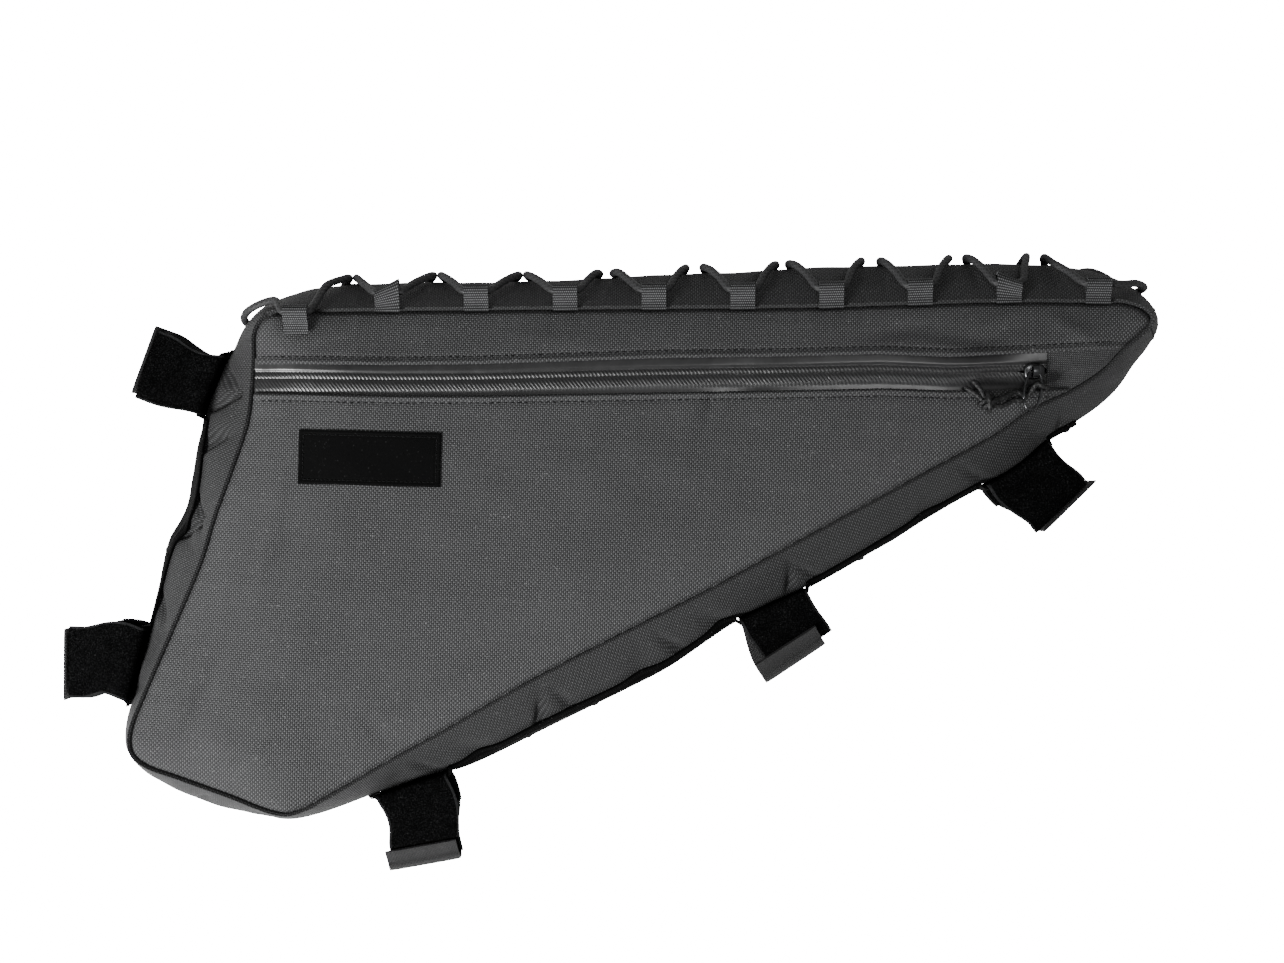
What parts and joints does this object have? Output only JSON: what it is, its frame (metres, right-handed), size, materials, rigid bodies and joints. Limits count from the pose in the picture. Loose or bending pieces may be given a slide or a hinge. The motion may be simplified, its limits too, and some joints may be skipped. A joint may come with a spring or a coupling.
{
  "type": "bicycle frame bag",
  "caption": "Flat triangular cloth bag for a bicycle frame, with a long coated zip, laced top edge and hook-and-loop straps.",
  "frame": {"origin": "on the underside of the flat back panel, the face the bag lies on", "axes": "+X along the laced top edge to the nose, +Y towards the laced top edge, +Z out of the front face"},
  "size_m": [0.5812, 0.3305, 0.0512],
  "materials": {
    "face_cloth": "charcoal coated plain weave",
    "side_cloth": "near-black coated plain weave",
    "coated_tape": "glossy coated zip tape",
    "coil": "plain coil",
    "dark_metal": "satin black",
    "cord": "braided elastic cord",
    "patch": "satin woven patch",
    "webbing": "ribbed webbing",
    "fuzzy_tape": "fuzzy loop tape",
    "hook_tape": "ribbed back of hook tape"
  },
  "bodies": {
    "root": {"front_panel": "face_cloth", "front_fascia": "face_cloth", "zip_end_tab": "face_cloth", "back_panel": "side_cloth", "gusset_top": "side_cloth", "gusset_down": "side_cloth", "gusset_bottom": "side_cloth", "gusset_seat": "side_cloth", "zip_tape_upper": "coated_tape", "zip_tape_lower": "coated_tape", "zip_chain": "coil", "zip_slider": "dark_metal", "zip_pull_ring": "dark_metal", "zip_pull_cord": "cord", "lace_cord": "cord", "label": "patch", "webbing_seat": "webbing", "webbing_down": "webbing", "front_loop_01": "webbing", "front_loop_02": "webbing", "front_loop_03": "webbing", "front_loop_04": "webbing", "front_loop_05": "webbing", "front_loop_06": "webbing", "front_loop_07": "webbing", "front_loop_08": "webbing", "front_loop_09": "webbing", "front_loop_10": "webbing", "back_loop_01": "webbing", "back_loop_02": "webbing", "back_loop_03": "webbing", "back_loop_04": "webbing", "back_loop_05": "webbing", "back_loop_06": "webbing", "back_loop_07": "webbing", "back_loop_08": "webbing", "back_loop_09": "webbing", "strap_1_loop_tape": "fuzzy_tape", "strap_1_hook_tape": "hook_tape", "strap_2_loop_tape": "fuzzy_tape", "strap_2_hook_tape": "hook_tape", "strap_3_loop_tape": "fuzzy_tape", "strap_3_hook_tape": "hook_tape", "strap_4_loop_tape": "fuzzy_tape", "strap_4_hook_tape": "hook_tape", "strap_5_loop_tape": "fuzzy_tape", "strap_5_hook_tape": "hook_tape"}
  },
  "joints": []
}
